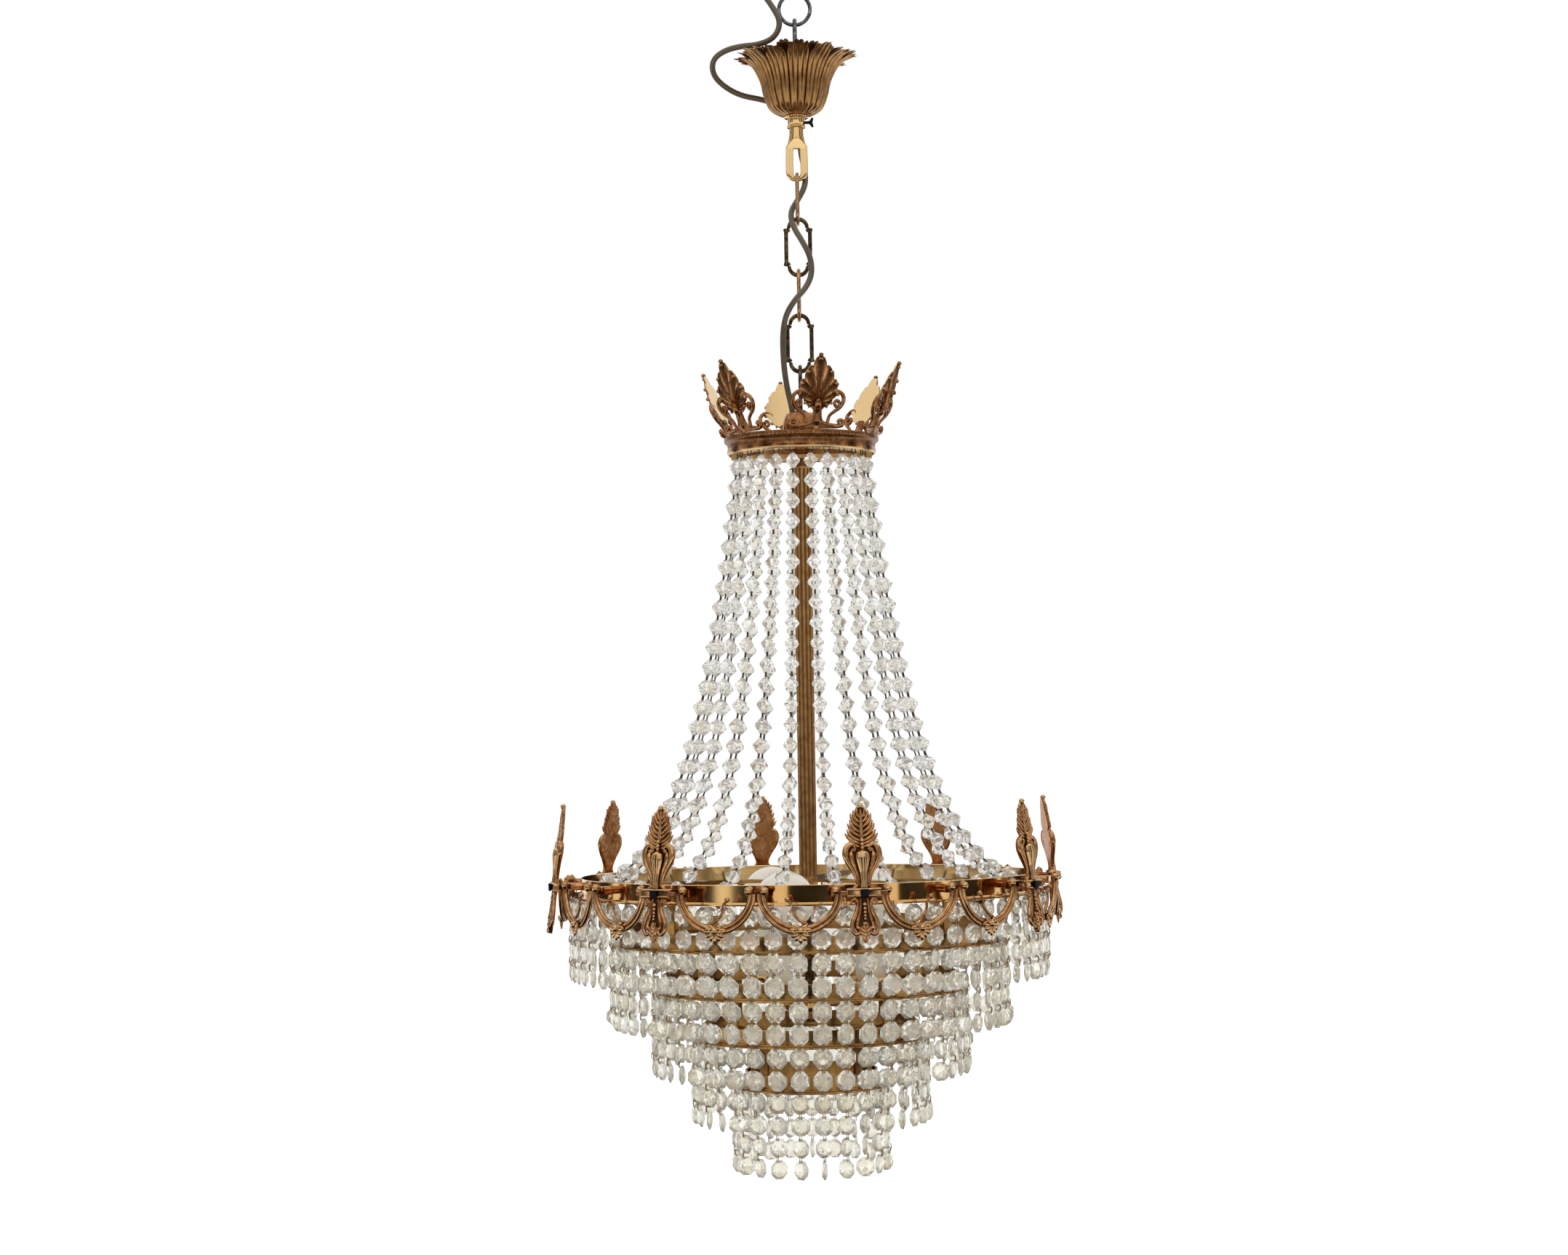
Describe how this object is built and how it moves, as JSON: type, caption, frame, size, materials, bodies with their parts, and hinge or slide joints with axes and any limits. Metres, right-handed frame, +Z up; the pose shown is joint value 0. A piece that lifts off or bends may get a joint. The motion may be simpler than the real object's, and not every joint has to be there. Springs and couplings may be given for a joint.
{
  "type": "crystal basket chandelier",
  "caption": "Hanging chandelier: leaf canopy on a linked chain, crown with palmettes, bead strings down to a brass ring, and a stepped basket of octagonal crystals with lamps inside.",
  "frame": {"origin": "seat of the hanging ring, where the ceiling hook bears", "axes": "+Z up along the hanging line, -Y towards the front of the picture, +X right"},
  "size_m": [0.398, 0.398, 0.955],
  "materials": {
    "dark_steel": "blackened steel",
    "polished_brass": "polished, lacquered",
    "polished_band": "polished, with a warm patina",
    "antique_brass": "cast, antiqued in the grooves",
    "dark_bronze": "dark bronzed brass",
    "black_screw": "blackened steel",
    "dark_wire": "dull wire",
    "crystal_beads": "cut clear crystal",
    "crystal": "cut clear crystal",
    "opal_glass": "opal white glass",
    "holder_plastic": "black bakelite",
    "candle_sleeve": "waxed cream card",
    "cord_sheath": "smooth brown PVC over two cores",
    "terminal_plastic": "moulded"
  },
  "bodies": {
    "ceiling_ring": {"hanging_ring": "dark_steel", "terminal_block": "terminal_plastic", "cord_stretch_1": "cord_sheath"},
    "top_link": {"top_link": "dark_steel", "cord_stretch_2": "cord_sheath"},
    "stem": {"canopy_stem": "polished_brass", "stirrup_loop": "polished_brass", "lock_nut": "polished_brass", "cord_stretch_3": "cord_sheath"},
    "canopy": {"leaf_canopy": "antique_brass", "canopy_collar": "polished_brass"},
    "thumb_screw": {"collar_screw": "black_screw"},
    "link_1": {"chain_link_1": "polished_brass", "cord_stretch_4": "cord_sheath"},
    "link_2": {"chain_link_2": "dark_bronze", "cord_stretch_5": "cord_sheath"},
    "link_3": {"chain_link_3": "polished_brass", "cord_stretch_6": "cord_sheath"},
    "link_4": {"chain_link_4": "dark_bronze", "cord_stretch_7": "cord_sheath"},
    "link_5": {"chain_link_5": "dark_bronze", "cord_stretch_8": "cord_sheath"},
    "basket": {"bead_strings": "crystal_beads", "candle_sleeves": "candle_sleeve", "column_eye_rod": "dark_bronze", "column_tube": "antique_brass", "crown_cap": "antique_brass", "crown_cross_bar": "antique_brass", "crown_palmette_1": "antique_brass", "crown_palmette_2": "antique_brass", "crown_palmette_3": "antique_brass", "crown_palmette_4": "antique_brass", "crown_palmette_5": "antique_brass", "crown_palmette_6": "antique_brass", "crown_ring": "antique_brass", "crystal_tier_1": "crystal", "crystal_tier_2": "crystal", "crystal_tier_3": "crystal", "crystal_tier_4": "crystal", "crystal_tier_5": "crystal", "drip_dishes": "antique_brass", "garland_clips": "antique_brass", "garlands": "antique_brass", "lamp_arms": "antique_brass", "lamp_holders": "holder_plastic", "lamp_hub": "antique_brass", "main_ring": "polished_band", "ornament_bolts": "black_screw", "ring_brackets": "antique_brass", "ring_ornaments": "antique_brass", "rod_nuts": "antique_brass", "spider_frame": "antique_brass", "string_hooks": "dark_wire", "tier_ring_2": "polished_band", "tier_ring_3": "polished_band", "tier_ring_4": "polished_band", "tier_ring_5": "polished_band"},
    "bulb_1": {"bulb_1": "opal_glass"},
    "bulb_2": {"bulb_2": "opal_glass"},
    "bulb_3": {"bulb_3": "opal_glass"}
  },
  "joints": [
    {"name": "ring_swing", "type": "hinge", "parent": "ceiling_ring", "child": "top_link", "pos_m": [0, 0, -0.0229], "axis": [1, 0, 0], "range_deg": [-15, 15], "deforming": ["cord_stretch_1"]},
    {"name": "stem_swing", "type": "hinge", "parent": "top_link", "child": "stem", "pos_m": [0, 0, -0.0561], "axis": [0, 1, 0], "range_deg": [-15, 15], "deforming": ["cord_stretch_2"]},
    {"name": "canopy_slide", "type": "slide", "parent": "stem", "child": "canopy", "axis": [0, 0, 1], "range_m": [0, 0.005]},
    {"name": "thumb_screw_turn", "type": "hinge", "parent": "canopy", "child": "thumb_screw", "pos_m": [0.009, 0, -0.1], "axis": [1, 0, 0], "continuous": true},
    {"name": "link_1_swing", "type": "hinge", "parent": "stem", "child": "link_1", "pos_m": [0, 0, -0.1446], "axis": [1, 0, 0], "range_deg": [-15, 15], "deforming": ["cord_stretch_3"]},
    {"name": "link_2_swing", "type": "hinge", "parent": "link_1", "child": "link_2", "pos_m": [0, 0, -0.1795], "axis": [0, 1, 0], "range_deg": [-15, 15], "deforming": ["cord_stretch_4"]},
    {"name": "link_3_swing", "type": "hinge", "parent": "link_2", "child": "link_3", "pos_m": [0, 0, -0.2199], "axis": [1, 0, 0], "range_deg": [-15, 15], "deforming": ["cord_stretch_5"]},
    {"name": "link_4_swing", "type": "hinge", "parent": "link_3", "child": "link_4", "pos_m": [0, 0, -0.2549], "axis": [0, 1, 0], "range_deg": [-15, 15], "deforming": ["cord_stretch_6"]},
    {"name": "link_5_swing", "type": "hinge", "parent": "link_4", "child": "link_5", "pos_m": [0, 0, -0.2953], "axis": [1, 0, 0], "range_deg": [-15, 15], "deforming": ["cord_stretch_7"]},
    {"name": "basket_swing", "type": "hinge", "parent": "link_5", "child": "basket", "pos_m": [0, 0, -0.3303], "axis": [0, 1, 0], "range_deg": [-15, 15], "deforming": ["cord_stretch_8"]},
    {"name": "bulb_1_unscrew", "type": "hinge", "parent": "basket", "child": "bulb_1", "pos_m": [-0.01799, -0.04385, -0.74], "axis": [0, 0, 1], "continuous": true},
    {"name": "bulb_2_unscrew", "type": "hinge", "parent": "basket", "child": "bulb_2", "pos_m": [0.04697, 0.00635, -0.74], "axis": [0, 0, 1], "continuous": true},
    {"name": "bulb_3_unscrew", "type": "hinge", "parent": "basket", "child": "bulb_3", "pos_m": [-0.02899, 0.0375, -0.74], "axis": [0, 0, 1], "continuous": true}
  ]
}
